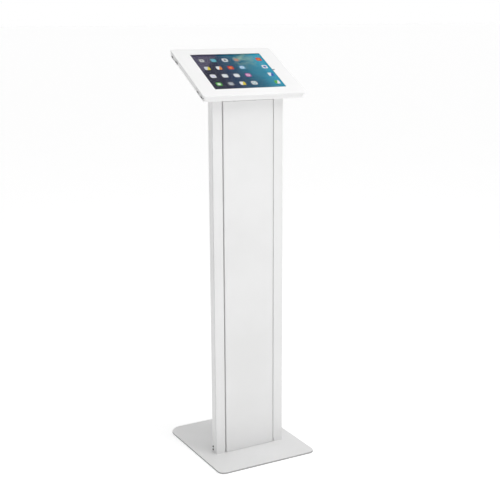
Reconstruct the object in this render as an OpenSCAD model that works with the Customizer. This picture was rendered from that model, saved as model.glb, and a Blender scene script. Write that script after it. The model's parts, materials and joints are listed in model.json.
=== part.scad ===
// Touchscreen kiosk: a tablet in a locking steel head on a slim floor column.
// Origin: centre of the base's footprint on the floor. +Z up, -Y to the visitor.

/* [Base] */
// Width of the base plate
base_w = 284; // [240:1:400]
// Depth of the base plate
base_d = 327; // [300:1:450]
// Thickness of the base plate
base_t = 5; // [4:0.5:8]
// Radius of the base plate's front corners
front_r = 18; // [10:1:60]
// Radius of the base plate's rear corners
back_r = 38; // [10:1:60]
// Thickness of the rubber pads under the base
pad_t = 1; // [0.5:0.5:3]

/* [Column] */
// Width of the column
col_w = 200; // [190:1:240]
// Y of the front face of the column's two strips
col_front = -56.5; // [-70:0.5:-50]
// Depth of the column
col_d = 26; // [26:1:40]
// Sheet thickness of the column
sheet = 1.5; // [1.5:0.5:2]
// X of the middle of the grooves beside the front panel
groove_x = 72; // [68:0.5:76]
// Width of the grooves beside the front panel
groove_w = 2.4; // [2:0.2:4]

/* [Head] */
// Tilt of the head's face from the horizontal
tilt = 29; // [25:1:32]
// Y of the middle of the screen opening, on the front face
head_y = -3.5; // [-6:0.5:0]
// Z of the middle of the screen opening, on the front face
head_z = 1004; // [900:1:1200]
// Width of the front cover
head_w = 288; // [288:1:300]
// Height of the front cover, up its slope
head_h = 218.5; // [218:0.5:226]
// Full thickness of the closed head
head_t = 17.5; // [17.5:0.5:20]
// Sheet thickness of the cover and the housing
head_sheet = 1.2; // [1:0.1:1.5]
// Depth of the cover's lip
lip_d = 4; // [3.5:0.1:4]
// Width of the screen opening
open_w = 200; // [196:0.5:203]
// Height of the screen opening
open_h = 161; // [155:0.5:162]
// How far the opening sits above the middle of the cover
open_up = 1.35; // [0:0.05:4]

/* [Tablet] */
// Length of the tablet
tab_w = 248; // [240:1:250]
// Height of the tablet as it lies
tab_h = 174; // [173:1:175]
// Thickness of the tablet's body without its glass
tab_t = 6.7; // [5.5:0.1:6.7]

/* [Lock] */
// Distance of the lock from the cover's right edge
lock_in = 24; // [23:0.5:26]
// Radius of the lock's barrel
barrel_r = 5.5; // [5:0.1:5.5]
// Reach of the cam from the lock's axis
cam_reach = 14.5; // [13:0.1:14.5]

/* [Hidden] */
$fn = 64;
e = 1;                                   // overshoot of a cutting tool
gap = 0.3;                               // room between pieces that move apart
fit = 0.1;                               // radial room of a screw in its hole
m3 = 1.5;                                // shank radii of the screws
m4 = 2;
m6 = 3;

white = [0.93, 0.93, 0.93];
zinc = [0.72, 0.73, 0.75];
dark = [0.1, 0.1, 0.11];
chrome = [0.85, 0.86, 0.88];

// base and column
floor_z = pad_t + base_t;                // top of the base plate
col_back = col_front + col_d;
wall_x = col_w / 2 - sheet;              // inner face of the column's side walls
seam = 1.6;                              // shadow gap behind the strips' edge
strip_in = groove_x + groove_w / 2;      // inner edge of a strip
panel_x = groove_x - groove_w / 2;       // half width of the front panel
panel_out = col_front - sheet;           // front face of the panel, which stands proud
ledge_y = col_front + 8;                 // front face of the ledges behind the panel
ledge_in = 62;                           // inner edge of the ledges
panel_top = 933;
panel_gap = 0.5;                         // room above and below the front panel
clip_z = [60, 480, 890];
clip_x = 66;
clip_r = 3;
side_screw_z = [13, 21];
side_screw_y = -37;
tray_y = -39;                            // middle of the foot tray
csk_r = 6.1;                             // countersinks in the base, at 45 degrees
strip_return = 14;                       // depth of a strip's flange on the side wall
panel_d = 8;                             // depth of the front panel over its folded edges
base_screw_xy = [[80, tray_y], [30, tray_y], [30, -5]];
bracket_t = 3;
bracket_x = 50;                          // half width of both brackets
foot_h = 70;                             // height of the foot bracket
head_bracket_z = 880;                    // foot of the head bracket
bolt_xz = [[30, 50], [30, 900], [30, 930]];
outlet_z = 110;
grommet_r = 8;                           // hole through both grommets
grommet_lip = 2;                         // thickness of a grommet's lips
outlet_hole_r = 12;                      // hole in the back wall for its grommet
head_hole_r = 9.5;                       // hole in the head's floor for its grommet

// head: local X to the right, Y up the slope, Z out of the front face
cover_v = -open_up;                      // middle of the cover
head_r = 6;
wall_in = 4.7;                           // housing wall in from the cover's edge, at the sides
wall_in_v = 2.2;                         // the same at the top and bottom
house_w = head_w - 2 * wall_in;
house_h = head_h - 2 * wall_in_v;
house_top = -head_sheet - 0.5;           // rim of the housing
house_x = house_w / 2;
floor_n = -head_t + head_sheet;          // inner face of the housing's floor
notch_l = 7;
notch_w = 4;
camera_u = open_w / 2 + notch_l - notch_w / 2;   // camera, at the notch's round end
vent_w = 3.3;
vent_l = 17;
vent_pitch = 8;
vent_row = 27;
vent_x0 = head_w / 2 - 15;               // outermost column of vents
vent_v0 = 61.5;                          // middle of the first row of vents
vesa = 37.5;                             // half pitch of the four head screws
vesa_v = 18;                             // their middle
cable_v = -55.4;                         // hole above the column's hollow

// hinge on the head's left side
hinge_u = -(head_w / 2 - 2.2);
hinge_n = -6.5;
knuckle_r = 2.1;
pin_r = 1.2;
leaf_l = 40;
leaf_t = 1.2;
knuckle_l = leaf_l / 5;
hinge_v = [cover_v + 81, cover_v - 81];
hinge_screw_n = -11.5;
hinge_screw_v = 12;                      // each side of a hinge's middle

// lock
lock_u = head_w / 2 - lock_in;
lock_out = 8.5;                          // how far the lock stands out of the housing
thread_r = 7;
nut_n = floor_n + 2;                     // top of the lock's nut
cam_n = nut_n + gap;                     // underside of the cam
cam_t = 1.5;
barrel_n = -head_t - lock_out;           // outer end of the barrel
catch_u = head_w / 2 - 8.5;              // inner face of the catch
catch_low = floor_n + 0.4;               // underside of the catch's hook
cam_screw_r = 1;
cam_screw_l = 2;
key_l = 10;                              // length of the blade in the barrel
collar_r = 4.6;                          // round collar of the key
collar_l = 7;
stem_r = 2.4;                            // stem of the key inside its bow

// tablet
glass_n = -2.5;                          // front of the glass
glass_t = 0.8;
body_n = glass_n - glass_t;              // front of the tablet's body
back_n = body_n - tab_t;                 // back of the tablet
disp_w = 206;
disp_h = 164.5;
home_u = -114;
home_r = 6;
edge_n = body_n - 3.2;                   // middle of the edge buttons
power_v = 70;
volume_u = [94, 80];                     // volume up and volume down
deck_n = -12.3;                          // top of the tablet tray
deck_x = 83;
clamp_n = -15;                           // underside of the clamps
clamp_v = 38;
clamp_travel = 8;
clamp_screw_u = head_w / 2 - 31;
clamp_x0 = 86;                           // inner edge of a clamp
clamp_x1 = tab_w / 2 + 1.3;              // inner face of its uprights
clamp_arm = 16;

// ---- shared shapes ----

// Rectangle with round corners, centred
module rrect(w, d, r) {
    square([w - 2 * r, d], center = true);
    square([w, d - 2 * r], center = true);
    for (sx = [-1, 1], sy = [-1, 1])
        translate([sx * (w / 2 - r), sy * (d / 2 - r)]) circle(r);
}

// Places its children on the tilted head
module on_head() {
    translate([0, head_y, head_z]) rotate([tilt, 0, 0]) children();
}

// Mirrored pair across the middle plane
module both_sides() {
    children();
    mirror([1, 0, 0]) children();
}

// Block between two corners
module block(a, b) {
    translate(a) cube(b - a);
}

// Pan head screw: head above the face, shank below, cross recess on top
module pan_screw(head_r, head_h, shank_r, length) {
    dome = (head_r * head_r * 1.6 + head_h * head_h) / (2 * head_h);
    difference() {
        union() {
            intersection() {
                cylinder(r = head_r, h = head_h);
                translate([0, 0, head_h - dome]) sphere(dome);
            }
            translate([0, 0, -length]) cylinder(r = shank_r, h = length + head_h / 4);
        }
        for (a = [0, 90])
            rotate([0, 0, a])
                translate([-head_r * 0.55, -head_r * 0.11, head_h * 0.45])
                    cube([head_r * 1.1, head_r * 0.22, head_h]);
    }
}

// Hexagon nut standing on the face
module nut(flats, h, hole_r) {
    difference() {
        cylinder(r = flats / sqrt(3), h = h, $fn = 6);
        translate([0, 0, -e]) cylinder(r = hole_r, h = h + 2 * e);
    }
}

// Everything above the plane that the column's top is cut to
module above_column() {
    on_head() block([-200, -300, -head_t - 0.4], [200, 300, 300]);
}

// Rubber grommet along Z for a wall of thickness t whose middle is at 0
module grommet(wall_r, lip_r, t) {
    lip = grommet_lip;
    rotate_extrude()
        union() {
            translate([grommet_r, -t / 2 - lip]) square([wall_r - grommet_r, t + 2 * lip]);
            for (s = [-1, 1])
                translate([grommet_r, s * (t / 2 + lip / 2) - lip / 2])
                    square([lip_r - grommet_r, lip]);
        }
}

// ---- base ----

// Half of the base's outline: s is -1 for the front and 1 for the back
module base_half(s, r) {
    intersection() {
        rrect(base_w, base_d, r);
        translate([0, s * base_d / 4]) square([base_w, base_d / 2 + e], center = true);
    }
}

module base_plate() {
    color(white)
    difference() {
        translate([0, 0, pad_t]) linear_extrude(base_t) {
            base_half(-1, front_r);
            base_half(1, back_r);
        }
        both_sides()
            for (p = base_screw_xy)
                translate([p[0], p[1], pad_t - e]) {
                    cylinder(r = m6 + fit, h = base_t + 2 * e);
                    cylinder(r1 = csk_r + e, r2 = m6 + fit, h = csk_r - m6 - fit + e);
                }
    }
}

module base_pads() {
    inset = 25;                          // pad centres in from the plate's edges
    color(dark)
    for (sx = [-1, 1], sy = [-1, 1])
        translate([sx * (base_w / 2 - inset), sy * (base_d / 2 - inset), 0])
            cylinder(r = 12, h = pad_t);
}

// Countersunk screws with a hexagon socket, from below
module base_screws() {
    screw_r = csk_r - 3 * fit;
    color(zinc)
    both_sides()
        for (p = base_screw_xy)
            translate([p[0], p[1], pad_t + 2 * fit])
                difference() {
                    union() {
                        cylinder(r1 = screw_r, r2 = m6, h = screw_r - m6);
                        cylinder(r = m6, h = base_t + bracket_t + 1);
                    }
                    translate([0, 0, -e]) cylinder(r = 2.2, h = 2 + e, $fn = 6);
                }
}

// Web on the base inside the column, with an upright tab at each end
module foot_tray() {
    front = -46;
    back = col_back - sheet;
    tab_t = 2;
    tab_h = 22;
    tab_front = col_front + strip_return + e;
    color(zinc)
    difference() {
        union() {
            block([tab_t - wall_x, front, floor_z], [wall_x - tab_t, back, floor_z + bracket_t]);
            both_sides()
                block([wall_x - tab_t, tab_front, floor_z], [wall_x, back - e, floor_z + tab_h]);
        }
        both_sides() {
            for (p = base_screw_xy)
                translate([p[0], p[1], floor_z - e]) cylinder(r = m6 + fit, h = bracket_t + 2 * e);
            for (z = side_screw_z)
                translate([wall_x - tab_t - e, side_screw_y, z]) rotate([0, 90, 0])
                    cylinder(r = m3 + fit, h = tab_t + 2 * e);
        }
    }
}

// L-shaped bracket with cheeks, from the back wall to the base
module foot_bracket() {
    toe = 12;
    color(white)
    difference() {
        union() {
            block([-bracket_x, col_back, floor_z], [bracket_x, toe, floor_z + bracket_t]);
            block([-bracket_x, col_back, floor_z], [bracket_x, col_back + bracket_t, floor_z + foot_h]);
            both_sides()
                translate([bracket_x - bracket_t, 0, 0]) rotate([90, 0, 90])
                    linear_extrude(bracket_t)
                        polygon([[col_back, floor_z], [toe, floor_z], [toe, floor_z + 8],
                            [col_back + bracket_t + 3, floor_z + foot_h], [col_back, floor_z + foot_h]]);
        }
        both_sides() {
            translate([base_screw_xy[2][0], base_screw_xy[2][1], floor_z - e])
                cylinder(r = m6 + fit, h = bracket_t + 2 * e);
            translate([bolt_xz[0][0], col_back - e, bolt_xz[0][1]]) rotate([-90, 0, 0])
                cylinder(r = m6 + gap, h = bracket_t + 2 * e);
        }
    }
}

// ---- column ----

// Back and side walls, one folded sheet
module column_channel() {
    outer_r = 2.5;
    color(white)
    difference() {
        translate([0, 0, floor_z]) linear_extrude(head_z)
            difference() {
                union() {
                    translate([0, (col_front + col_back) / 2]) rrect(col_w, col_d, outer_r);
                    translate([-col_w / 2, col_front]) square([col_w, col_d / 2]);
                }
                translate([0, (col_front + col_back) / 2 - e])
                    rrect(col_w - 2 * sheet, col_d - 2 * sheet + 2 * e, outer_r - sheet);
                translate([-col_w / 2 - e, col_front - e])
                    square([col_w + 2 * e, sheet + seam + e]);
                translate([-wall_x, col_front - e]) square([2 * wall_x, col_d / 2]);
            }
        above_column();
        translate([0, col_back - sheet - e, outlet_z]) rotate([-90, 0, 0])
            cylinder(r = outlet_hole_r, h = sheet + 2 * e);
        both_sides() {
            for (p = bolt_xz)
                translate([p[0], col_back - sheet - e, p[1]]) rotate([-90, 0, 0])
                    cylinder(r = m6 + gap, h = sheet + 2 * e);
            for (z = side_screw_z)
                translate([wall_x - e, side_screw_y, z]) rotate([0, 90, 0])
                    cylinder(r = m3 + fit, h = sheet + 2 * e);
        }
    }
}

// Right front strip: face, return to the side wall, groove wall and ledge
module strip() {
    difference() {
        translate([0, 0, floor_z]) linear_extrude(head_z)
            union() {
                translate([strip_in, col_front]) square([col_w / 2 - strip_in, sheet]);
                translate([wall_x - sheet, col_front]) square([sheet, strip_return]);
                translate([strip_in, col_front]) square([sheet, ledge_y + sheet - col_front]);
                translate([ledge_in, ledge_y]) square([strip_in + sheet - ledge_in, sheet]);
            }
        above_column();
        for (z = clip_z)
            translate([clip_x, ledge_y - e, z]) rotate([-90, 0, 0])
                cylinder(r = clip_r + 2 * gap, h = sheet + 2 * e);
        // drain notch at the foot of the groove
        translate([strip_in, col_front - e, floor_z + 5]) rotate([-90, 0, 0])
            cylinder(r = 2, h = sheet + 2 * e);
    }
}

module right_strip() {
    color(white) strip();
}

module left_strip() {
    color(white) mirror([1, 0, 0]) strip();
}

// Section of the front panel: a sheet with both edges folded back
module panel_profile(depth) {
    difference() {
        translate([-panel_x, panel_out]) square([2 * panel_x, depth]);
        translate([-panel_x + sheet, panel_out + sheet]) square([2 * (panel_x - sheet), depth]);
    }
}

// Short fixed panel between the lift-off panel and the head
module column_header() {
    color(white)
    difference() {
        translate([0, 0, panel_top + panel_gap]) linear_extrude(60) panel_profile(ledge_y - panel_out);
        above_column();
    }
}

module column_panel() {
    color(white)
    translate([0, 0, floor_z + panel_gap]) linear_extrude(panel_top - floor_z - panel_gap)
        panel_profile(panel_d);
}

// Snap studs on the panel's back that push through the ledges
module panel_clips() {
    color(dark)
    both_sides()
        for (z = clip_z)
            translate([clip_x, col_front, z]) rotate([-90, 0, 0]) {
                cylinder(r = clip_r + 0.2, h = 5);
                cylinder(r = 2.4, h = 10.5);
                translate([0, 0, 10.5]) sphere(clip_r);
            }
}

module side_screws() {
    color(dark)
    both_sides()
        for (z = side_screw_z)
            translate([col_w / 2, side_screw_y, z]) rotate([0, 90, 0])
                pan_screw(2.7, 1.6, m3, 7);
}

module cable_grommet() {
    color(dark)
    translate([0, col_back - sheet / 2, outlet_z]) rotate([-90, 0, 0])
        grommet(outlet_hole_r, outlet_hole_r + 3, sheet);
}

// ---- brackets between column and head ----

module head_bracket() {
    low = vesa_v - 56;
    high = vesa_v + 57;
    color(white)
    difference() {
        union() {
            on_head()
                block([-bracket_x, low, -head_t - bracket_t], [bracket_x, high, -head_t]);
            difference() {
                union() {
                    block([-bracket_x, col_back, head_bracket_z],
                        [bracket_x, col_back + bracket_t, head_z]);
                    both_sides()
                        block([bracket_x - bracket_t, col_back, head_bracket_z],
                            [bracket_x, 200, head_z + 100]);
                }
                on_head() block([-200, -300, -head_t - bracket_t], [200, 300, 300]);
                // free edge of the cheeks, from the bracket's foot to its upper end
                translate([0, col_back + bracket_t + 3, head_bracket_z])
                    rotate([57, 0, 0]) block([-200, 0, -400], [200, 400, 0]);
                on_head() block([-200, high, -400], [200, 500, 400]);
            }
        }
        on_head()
            for (sx = [-1, 1], sy = [-1, 1])
                translate([sx * vesa, vesa_v + sy * vesa, -head_t - bracket_t - e])
                    cylinder(r = m4 + 2 * fit, h = bracket_t + 2 * e);
        both_sides()
            for (i = [1, 2])
                translate([bolt_xz[i][0], col_back - e, bolt_xz[i][1]]) rotate([-90, 0, 0])
                    cylinder(r = m6 + gap, h = bracket_t + 2 * e);
    }
}

module bracket_bolts() {
    color(zinc)
    both_sides()
        for (p = bolt_xz)
            translate([p[0], col_back + bracket_t, p[1]]) rotate([-90, 0, 0])
                pan_screw(5.6, 3.2, m6, bracket_t + sheet + 6);
}

module bracket_nuts() {
    color(zinc)
    both_sides()
        for (p = bolt_xz)
            translate([p[0], col_back - sheet, p[1]]) rotate([90, 0, 0]) nut(10, 5, m6);
}

// ---- head ----

// Four groups of ventilation slots
module vents() {
    for (sx = [-1, 1], sy = [-1, 1], c = [0 : 4], r = [0 : 1])
        translate([sx * (vent_x0 - c * vent_pitch), sy * (vent_v0 + r * vent_row), -head_t - e])
            linear_extrude(head_sheet + 2 * e) rrect(vent_w, vent_l, 0.8);
}

// Rear tray of the head
module head_housing() {
    dimple_r = 6;
    color(white)
    on_head()
    difference() {
        union() {
            difference() {
                translate([0, cover_v, -head_t]) linear_extrude(house_top + head_t)
                    rrect(house_w, house_h, head_r - 1);
                translate([0, cover_v, floor_n]) linear_extrude(head_t)
                    rrect(house_w - 2 * head_sheet, house_h - 2 * head_sheet,
                        head_r - 1 - head_sheet);
            }
            for (sx = [-1, 1], sy = [-1, 1])
                translate([sx * clamp_screw_u, sy * clamp_v, floor_n - 0.5])
                    cylinder(r = dimple_r, h = 1.5);
        }
        for (sx = [-1, 1], sy = [-1, 1])
            translate([sx * clamp_screw_u, sy * clamp_v, -head_t - e]) {
                cylinder(r1 = dimple_r + e, r2 = dimple_r - 1.2, h = 1 + e);
                cylinder(r = m4 + fit, h = 5);
            }
        for (sx = [-1, 1], sy = [-1, 1])
            translate([sx * vesa, vesa_v + sy * vesa, -head_t - e])
                cylinder(r = m4 + 2 * fit, h = 5);
        vents();
        translate([lock_u, 0, -head_t - e]) cylinder(r = thread_r + fit, h = 5);
        translate([0, cable_v, -head_t - e]) cylinder(r = head_hole_r, h = 5);
        for (v = hinge_v, s = [-1, 1])
            translate([-house_x - e, v + s * hinge_screw_v, hinge_screw_n]) rotate([0, 90, 0])
                cylinder(r = m3 + fit, h = head_sheet + 2 * e);
    }
}

module head_screws() {
    color(zinc)
    on_head()
        for (sx = [-1, 1], sy = [-1, 1])
            translate([sx * vesa, vesa_v + sy * vesa, -head_t - bracket_t]) rotate([180, 0, 0])
                pan_screw(4, 2.4, m4, bracket_t + 3.4);
}

module head_nuts() {
    color(zinc)
    on_head()
        for (sx = [-1, 1], sy = [-1, 1])
            translate([sx * vesa, vesa_v + sy * vesa, floor_n]) nut(7, 2.2, m4);
}

module head_grommet() {
    color(dark)
    on_head() translate([0, cable_v, -head_t + head_sheet / 2])
        grommet(head_hole_r, head_hole_r + 2, head_sheet);
}

// Raised deck that carries the tablet, on two folded legs
module tablet_tray() {
    low = -tab_h / 2 - 2;
    high = 62;
    t = head_sheet;
    color(zinc)
    on_head()
    difference() {
        union() {
            block([-deck_x, low, deck_n - t], [deck_x, high, deck_n]);
            both_sides() {
                block([deck_x - t, low, floor_n], [deck_x, high, deck_n]);
                block([deck_x - 12, low, floor_n], [deck_x, high, floor_n + t]);
                block([50, low, deck_n - t], [70, low + t, -5]);
            }
        }
        block([-30, -78, deck_n - 2], [30, -34, deck_n + e]);
        translate([0, 20, deck_n - 2]) linear_extrude(2 + e) rrect(56, 50, 8);
    }
}

module tray_pads() {
    color(dark)
    on_head()
        for (sx = [-1, 1], v = [-60, 35])
            translate([sx * 58, v, deck_n]) linear_extrude(back_n - deck_n) rrect(34, 24, 4);
}

// Right tablet clamp: a strip with two arms whose ends turn up beside the tablet
module clamp() {
    t = head_sheet;
    arm_lo = clamp_v - clamp_arm / 2;
    arm_hi = clamp_v + clamp_arm / 2;
    on_head()
    difference() {
        union() {
            block([clamp_x0, -arm_hi, clamp_n], [clamp_x0 + 12, arm_hi, clamp_n + t]);
            for (s = [-1, 1])
                translate([0, s * clamp_v, 0]) {
                    block([clamp_x0, -clamp_arm / 2, clamp_n],
                        [clamp_x1 + t, clamp_arm / 2, clamp_n + t]);
                    block([clamp_x1, -clamp_arm / 2, clamp_n],
                        [clamp_x1 + t, clamp_arm / 2, glass_n - 2]);
                }
        }
        for (s = [-1, 1])
            translate([clamp_screw_u - clamp_travel / 2, s * clamp_v, clamp_n - e])
                linear_extrude(t + 2 * e) rrect(clamp_travel + 5, 5, 2.4);
    }
}

// Rubber face of the right clamp's uprights
module clamp_face() {
    on_head()
        for (s = [-1, 1])
            translate([0, s * clamp_v, 0])
                block([clamp_x1 - 1, -clamp_arm / 2 + 1, clamp_n + 2 * head_sheet],
                    [clamp_x1, clamp_arm / 2 - 1, glass_n - 3]);
}

module right_clamp() {
    color(zinc) clamp();
}

module left_clamp() {
    color(zinc) mirror([1, 0, 0]) clamp();
}

module right_clamp_pads() {
    color(dark) clamp_face();
}

module left_clamp_pads() {
    color(dark) mirror([1, 0, 0]) clamp_face();
}

// Rear screws in their dimples
module clamp_screws() {
    color(zinc)
    on_head()
        for (sx = [-1, 1], sy = [-1, 1])
            translate([sx * clamp_screw_u, sy * clamp_v, -head_t + 1]) rotate([180, 0, 0])
                pan_screw(4, 2.2, m4, 5.4);
}

module clamp_nuts() {
    color(zinc)
    on_head()
        for (sx = [-1, 1], sy = [-1, 1])
            translate([sx * clamp_screw_u, sy * clamp_v, clamp_n + head_sheet + gap])
                nut(7, 2, m4);
}

// ---- hinge ----

// Along a hinge: the first of five equal knuckles is number 0
module knuckle(i, hole_r) {
    translate([0, -leaf_l / 2 + i * knuckle_l + gap / 2, 0]) rotate([-90, 0, 0])
        difference() {
            cylinder(r = knuckle_r, h = knuckle_l - gap);
            translate([0, 0, -e]) cylinder(r = hole_r, h = knuckle_l + 2 * e);
        }
}

module at_hinges() {
    on_head()
        for (v = hinge_v)
            translate([hinge_u, v, hinge_n]) children();
}

module hinge_fixed_leaves() {
    plate = -house_x - hinge_u;          // inner face of the leaf, on the housing
    color(white)
    at_hinges()
    difference() {
        union() {
            difference() {
                block([plate - leaf_t, -leaf_l / 2, -9.2], [plate, leaf_l / 2, 0]);
                for (i = [1, 3])
                    translate([0, -leaf_l / 2 + i * knuckle_l - gap, -knuckle_r - 0.5])
                        block([-e, 0, 0], [plate + e, knuckle_l + 2 * gap, 9]);
                translate([0, -leaf_l, 0]) rotate([-90, 0, 0])
                    cylinder(r = pin_r + 0.2, h = 2 * leaf_l);
            }
            for (i = [0, 2, 4]) knuckle(i, pin_r);
        }
        for (s = [-1, 1])
            translate([plate - leaf_t - e, s * hinge_screw_v, hinge_screw_n - hinge_n])
                rotate([0, 90, 0]) cylinder(r = m3 + fit, h = leaf_t + 2 * e);
    }
}

module hinge_moving_leaves() {
    face = -head_w / 2 + head_sheet - hinge_u;   // inner face of the cover's lip
    top = -head_sheet - hinge_n;
    color(white)
    at_hinges()
    union() {
        difference() {
            block([face, -leaf_l / 2, 0], [face + leaf_t, leaf_l / 2, top]);
            for (i = [0, 2, 4])
                translate([0, -leaf_l / 2 + i * knuckle_l - gap, -e])
                    block([face - e, 0, 0], [face + leaf_t + e, knuckle_l + 2 * gap, knuckle_r + e + 0.4]);
            translate([0, -leaf_l, 0]) rotate([-90, 0, 0]) cylinder(r = pin_r + 0.2, h = 2 * leaf_l);
        }
        for (i = [1, 3]) knuckle(i, pin_r + 0.05);
    }
}

module hinge_pins() {
    color(zinc)
    at_hinges()
        translate([0, -leaf_l / 2, 0]) rotate([-90, 0, 0]) cylinder(r = pin_r, h = leaf_l);
}

module hinge_screws() {
    color(dark)
    on_head()
        for (v = hinge_v, s = [-1, 1])
            translate([-house_x - leaf_t, v + s * hinge_screw_v, hinge_screw_n])
                rotate([0, -90, 0]) pan_screw(2.5, 1.5, m3, 5);
}

// ---- cover ----

module front_cover() {
    t = head_sheet;
    color(white)
    on_head()
    difference() {
        translate([0, cover_v, -lip_d]) linear_extrude(lip_d) rrect(head_w, head_h, head_r);
        translate([0, cover_v, -lip_d - e]) linear_extrude(lip_d - t + e)
            rrect(head_w - 2 * t, head_h - 2 * t, head_r - t);
        translate([0, 0, -t - e]) linear_extrude(t + 2 * e) rrect(open_w, open_h, 1);
        translate([camera_u, 0, -t - e]) cylinder(r = notch_w / 2, h = t + 2 * e);
        block([open_w / 2 - e, -notch_w / 2, -t - e], [camera_u, notch_w / 2, e]);
    }
}

// Foam frame between the cover and the tablet's glass
module cover_gasket() {
    color(dark)
    on_head()
    translate([0, 0, -head_sheet - 1]) linear_extrude(1)
        difference() {
            rrect(234, tab_h - 2, 3);
            rrect(222, open_h + 3, 2);
            translate([home_u, 0]) circle(home_r + 2);
        }
}

// Strike that hangs from the cover: the cam turns over its hook
module cover_catch() {
    t = head_sheet;
    hw = 8;
    color(zinc)
    on_head() {
        block([catch_u, -hw, catch_low], [catch_u + t, hw, -t]);
        block([catch_u - 5.3, -hw, catch_low], [catch_u + t, hw, catch_low + t]);
        block([catch_u - 7, -hw, -2 * t], [catch_u + t, hw, -t]);
    }
}

// ---- lock and key ----

module at_lock() {
    on_head() translate([lock_u, 0, 0]) children();
}

module lock_housing() {
    color(chrome)
    at_lock()
    difference() {
        union() {
            translate([0, 0, barrel_n + 0.5]) cylinder(r1 = 8, r2 = 11, h = lock_out - 1.7);
            translate([0, 0, -head_t - 1.2]) cylinder(r = 11, h = 1.2);
            translate([0, 0, -head_t - 1.2]) cylinder(r = thread_r, h = 1.2 + head_sheet + 2);
        }
        translate([0, 0, barrel_n - e]) cylinder(r = barrel_r + 0.05, h = 40);
    }
}

module lock_nut() {
    color(zinc)
    at_lock() translate([0, 0, floor_n]) rotate([0, 0, 30]) nut(17, nut_n - floor_n, thread_r);
}

module lock_barrel() {
    color(chrome)
    at_lock()
    difference() {
        union() {
            translate([0, 0, barrel_n]) cylinder(r = barrel_r, h = cam_n - barrel_n);
            translate([-3, -3, cam_n - e]) cube([6, 6, cam_t + e]);
        }
        translate([-3.3, -1.2, barrel_n - e]) cube([6.6, 2.4, key_l + 0.5 + e]);
        translate([0, 0, cam_n + cam_t - cam_screw_l - gap])
            cylinder(r = cam_screw_r + fit, h = cam_screw_l + gap + e);
    }
}

// Cam at its open position, pointing down the slope
module lock_cam() {
    color(zinc)
    at_lock()
    difference() {
        translate([0, 0, cam_n]) {
            cylinder(r = 6.5, h = cam_t);
            block([-4.5, -cam_reach + 1.5, 0], [4.5, 0, cam_t]);
            block([-3, -cam_reach, 0], [3, 0, cam_t]);
        }
        translate([-3, -3, cam_n - e]) cube([6, 6, cam_t + 2 * e]);
    }
}

module cam_screw() {
    color(zinc)
    at_lock() translate([0, 0, cam_n + cam_t]) pan_screw(3.8, 1.5, cam_screw_r, cam_screw_l);
}

// Blade in the barrel, round collar outside it, stem inside the bow
module key_blade() {
    color(chrome)
    at_lock() {
        block([-3, -0.9, barrel_n - 1], [3, 0.9, barrel_n + key_l]);
        translate([0, 0, barrel_n - gap - collar_l]) cylinder(r = collar_r, h = collar_l);
        translate([0, 0, barrel_n - gap - collar_l - 8]) cylinder(r = stem_r, h = 8 + e);
    }
}

// Moulded bow, widening from its shoulder to a blunt end
module key_bow() {
    top = barrel_n - gap - collar_l + 2.5;
    half_t = 2.6;
    color(dark)
    at_lock()
    difference() {
        translate([0, half_t, 0]) rotate([90, 0, 0]) linear_extrude(2 * half_t)
            hull() {
                for (s = [-1, 1]) {
                    translate([s * 4.5, top - 3]) circle(3, $fn = 32);
                    translate([s * 9.5, top - 14]) circle(3, $fn = 32);
                    translate([s * 9.2, top - 32]) circle(3.6, $fn = 32);
                }
            }
        translate([0, 0, top - 2.5]) cylinder(r = collar_r, h = 5);
        translate([0, 0, top - 10.5]) cylinder(r = stem_r + fit / 2, h = 12);
        block([-3.4, -half_t - e, top - 8], [3.4, half_t + e, top + e]);
    }
}

// ---- tablet ----

module tablet_body() {
    color(zinc)
    on_head()
    difference() {
        translate([0, 0, back_n]) linear_extrude(tab_t) rrect(tab_w, tab_h, 10);
        translate([0, 0, body_n - 1]) linear_extrude(2) square([disp_w, disp_h], center = true);
        translate([home_u, 0, body_n - 1.5]) cylinder(r = home_r + gap, h = 3);
        block([tab_w / 2 - 2, power_v - 5.5, edge_n - 1.6], [tab_w / 2 + e, power_v + 5.5, edge_n + 1.6]);
        for (u = volume_u)
            block([u - 5.5, tab_h / 2 - 2, edge_n - 1.6], [u + 5.5, tab_h / 2 + e, edge_n + 1.6]);
    }
}

module tablet_display() {
    color([0.1, 0.3, 0.5])
    on_head() block([-disp_w / 2, -disp_h / 2, body_n - 1], [disp_w / 2, disp_h / 2, body_n]);
}

module tablet_glass() {
    color([0.05, 0.05, 0.06, 0.5])
    on_head()
    difference() {
        translate([0, 0, body_n]) linear_extrude(glass_t) rrect(tab_w - 1, tab_h - 1, 9.5);
        translate([home_u, 0, body_n - e]) cylinder(r = home_r + gap, h = 3);
        translate([camera_u, 0, body_n - e]) cylinder(r = 1.6, h = 3);
    }
}

// Camera lens behind the notch in the cover
module tablet_camera() {
    color(dark)
    on_head()
        translate([camera_u, 0, body_n]) cylinder(r = 1.5, h = glass_t - 0.1);
}

module home_button() {
    color(white)
    on_head()
    translate([home_u, 0, body_n - 0.7])
        difference() {
            cylinder(r = home_r, h = glass_t + 0.6);
            translate([0, 0, glass_t + 0.3 + 20]) sphere(20);
        }
}

// Edge button along X, pressed along -Y
module edge_button() {
    block([-5, -1.5, -1.2], [5, 0.7, 1.2]);
}

module power_button() {
    color(zinc)
    on_head() translate([tab_w / 2, power_v, edge_n]) rotate([0, 0, -90]) edge_button();
}

module volume_up_button() {
    color(zinc) on_head() translate([volume_u[0], tab_h / 2, edge_n]) edge_button();
}

module volume_down_button() {
    color(zinc) on_head() translate([volume_u[1], tab_h / 2, edge_n]) edge_button();
}

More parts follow.
